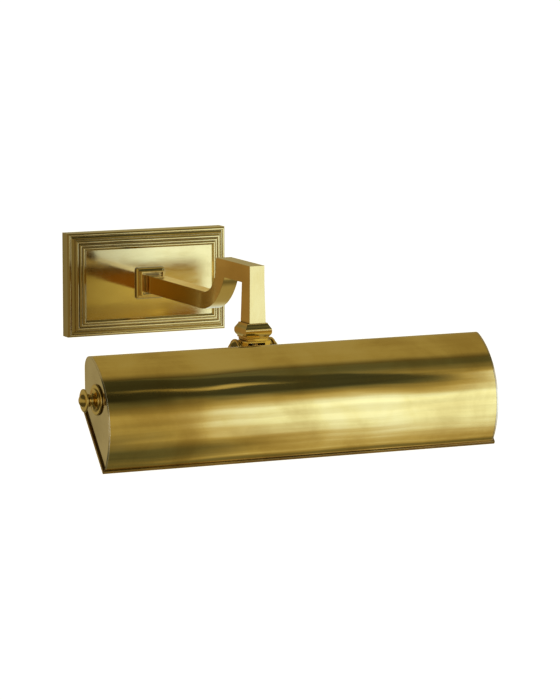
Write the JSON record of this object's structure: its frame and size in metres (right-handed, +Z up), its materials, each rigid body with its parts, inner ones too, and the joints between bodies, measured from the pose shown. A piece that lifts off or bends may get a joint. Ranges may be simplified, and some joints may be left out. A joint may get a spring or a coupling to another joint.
{
  "type": "picture light",
  "caption": "Brass picture light: a long half-open shade that tilts at the end of a cranked square arm on a moulded rectangular wall plate.",
  "frame": {"origin": "middle of the wall plate's back, on the wall", "axes": "+X along the shade, +Y into the wall, +Z up; the light stands out towards -Y"},
  "size_m": [0.3052, 0.2936, 0.1287],
  "materials": {
    "plate_brass": "polished, lightly aged",
    "arm_brass": "polished, lightly aged",
    "shade_brass": "polished, lightly aged, with soft streaks",
    "finial_brass": "polished, lightly aged",
    "fixing_steel": "zinc plated",
    "screw_brass": "plain turned",
    "holder_plastic": "moulded",
    "lamp_cap_metal": "plain rolled",
    "lamp_glass": "clear",
    "lead_cover": "extruded sleeve",
    "bush_plastic": "moulded"
  },
  "bodies": {
    "wall_and_arm": {"wall_bracket": "fixing_steel", "backplate": "plate_brass", "plate_set_screws": "screw_brass", "ground_screw": "screw_brass", "arm_nipple": "fixing_steel", "nipple_washer": "fixing_steel", "nipple_nut": "fixing_steel", "arm_boss": "arm_brass", "arm_bar": "arm_brass", "arm_elbow": "arm_brass", "arm_post": "arm_brass", "post_collar": "arm_brass", "knuckle_yoke": "arm_brass", "friction_washers": "bush_plastic", "supply_lead": "lead_cover", "pivot_screw_left": "arm_brass", "pivot_screw_right": "arm_brass"},
    "shade": {"shade_link": "arm_brass", "link_screws": "screw_brass", "shade_shell": "shade_brass", "front_lip_rail": "shade_brass", "back_lip_rail": "shade_brass", "end_lip_rail_left": "shade_brass", "end_lip_rail_right": "shade_brass", "end_cap_left": "shade_brass", "end_cap_right": "shade_brass", "shade_grommet": "bush_plastic", "stud_nuts": "fixing_steel", "shade_leads": "lead_cover", "lampholder_clip_left": "fixing_steel", "lampholder_clip_right": "fixing_steel", "lampholder_left": "holder_plastic", "lampholder_right": "holder_plastic", "lamp_base_left": "lamp_cap_metal", "lamp_base_right": "lamp_cap_metal", "lamp_tube_left": "lamp_glass", "lamp_tube_right": "lamp_glass", "end_screw_right": "shade_brass"},
    "finial_left": {"finial_left": "finial_brass"}
  },
  "joints": [
    {"name": "shade_tilt", "type": "hinge", "parent": "wall_and_arm", "child": "shade", "pos_m": [0, -0.203, -0.028], "axis": [1, 0, 0], "range_deg": [-25, 45]},
    {"name": "finial_left_turn", "type": "hinge", "parent": "shade", "child": "finial_left", "pos_m": [-0.145, -0.2734, -0.04225], "axis": [-1, 0, 0], "continuous": true}
  ]
}
